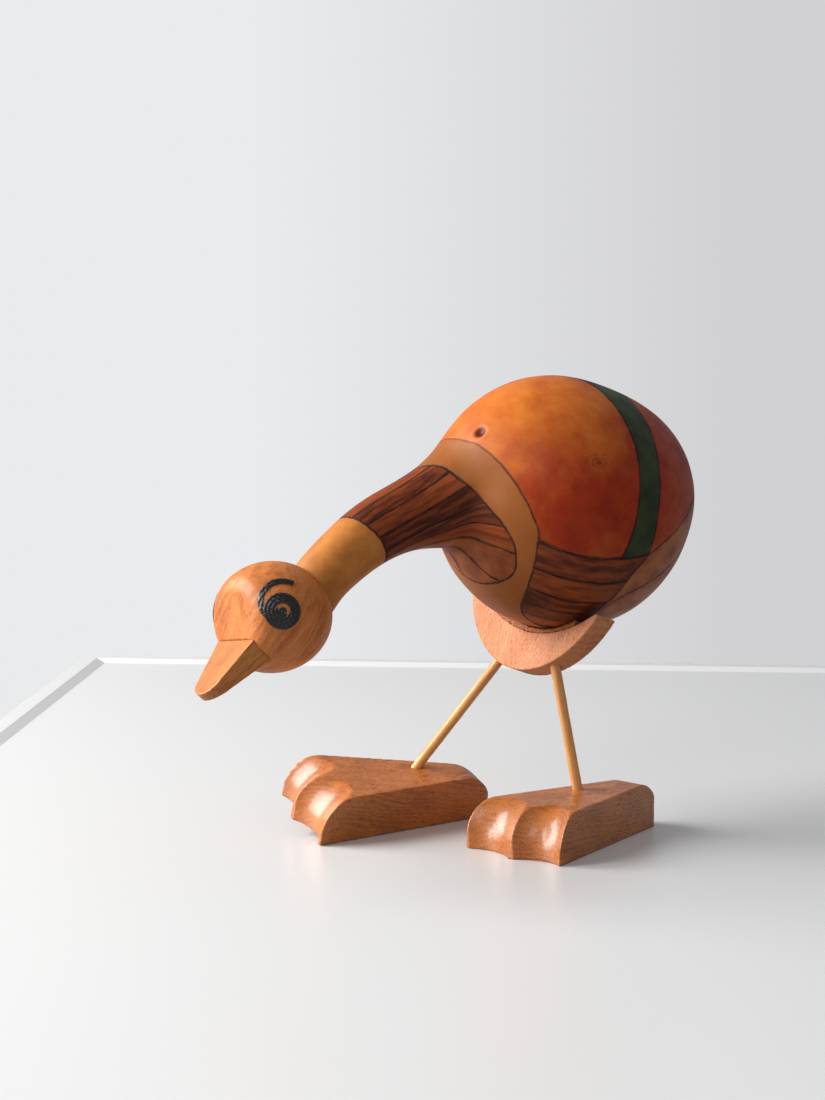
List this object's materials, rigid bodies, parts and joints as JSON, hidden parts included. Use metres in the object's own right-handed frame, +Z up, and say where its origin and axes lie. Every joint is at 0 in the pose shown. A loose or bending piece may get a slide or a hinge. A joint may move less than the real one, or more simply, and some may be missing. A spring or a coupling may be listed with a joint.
{
  "type": "gourd bird figurine",
  "caption": "Free-standing duck made from a dyed bottle gourd, with a wooden head and beak, dowel legs and carved wooden feet.",
  "frame": {"origin": "on the tabletop under the middle of the bird's outline", "axes": "+Z up, the bird faces -Y, its left side is +X"},
  "size_m": [0.1931, 0.3486, 0.2871],
  "materials": {
    "gourd_skin": "dried gourd skin, dyed orange, red, green and brown in panels with burned lines between them, varnished",
    "plug_wood": "plain softwood, unfinished, hidden",
    "head_wood": "turned hardwood, satin varnish",
    "beak_wood": "carved hardwood, satin varnish",
    "dowel_wood": "birch dowel, satin varnish",
    "saddle_wood": "sawn board, thin varnish, end grain showing",
    "foot_wood": "carved hardwood, gloss varnish",
    "black_paint": "thick raised black paint, glossy",
    "glue": "brown glue bed, rough"
  },
  "bodies": {
    "root": {"gourd_shell": "gourd_skin", "neck_plug": "plug_wood", "head": "head_wood", "head_pin": "dowel_wood", "beak": "beak_wood", "beak_pin": "dowel_wood", "left_eye": "black_paint", "right_eye": "black_paint", "saddle": "saddle_wood", "saddle_glue": "glue", "left_leg": "dowel_wood", "right_leg": "dowel_wood", "left_foot": "foot_wood", "right_foot": "foot_wood"}
  },
  "joints": []
}
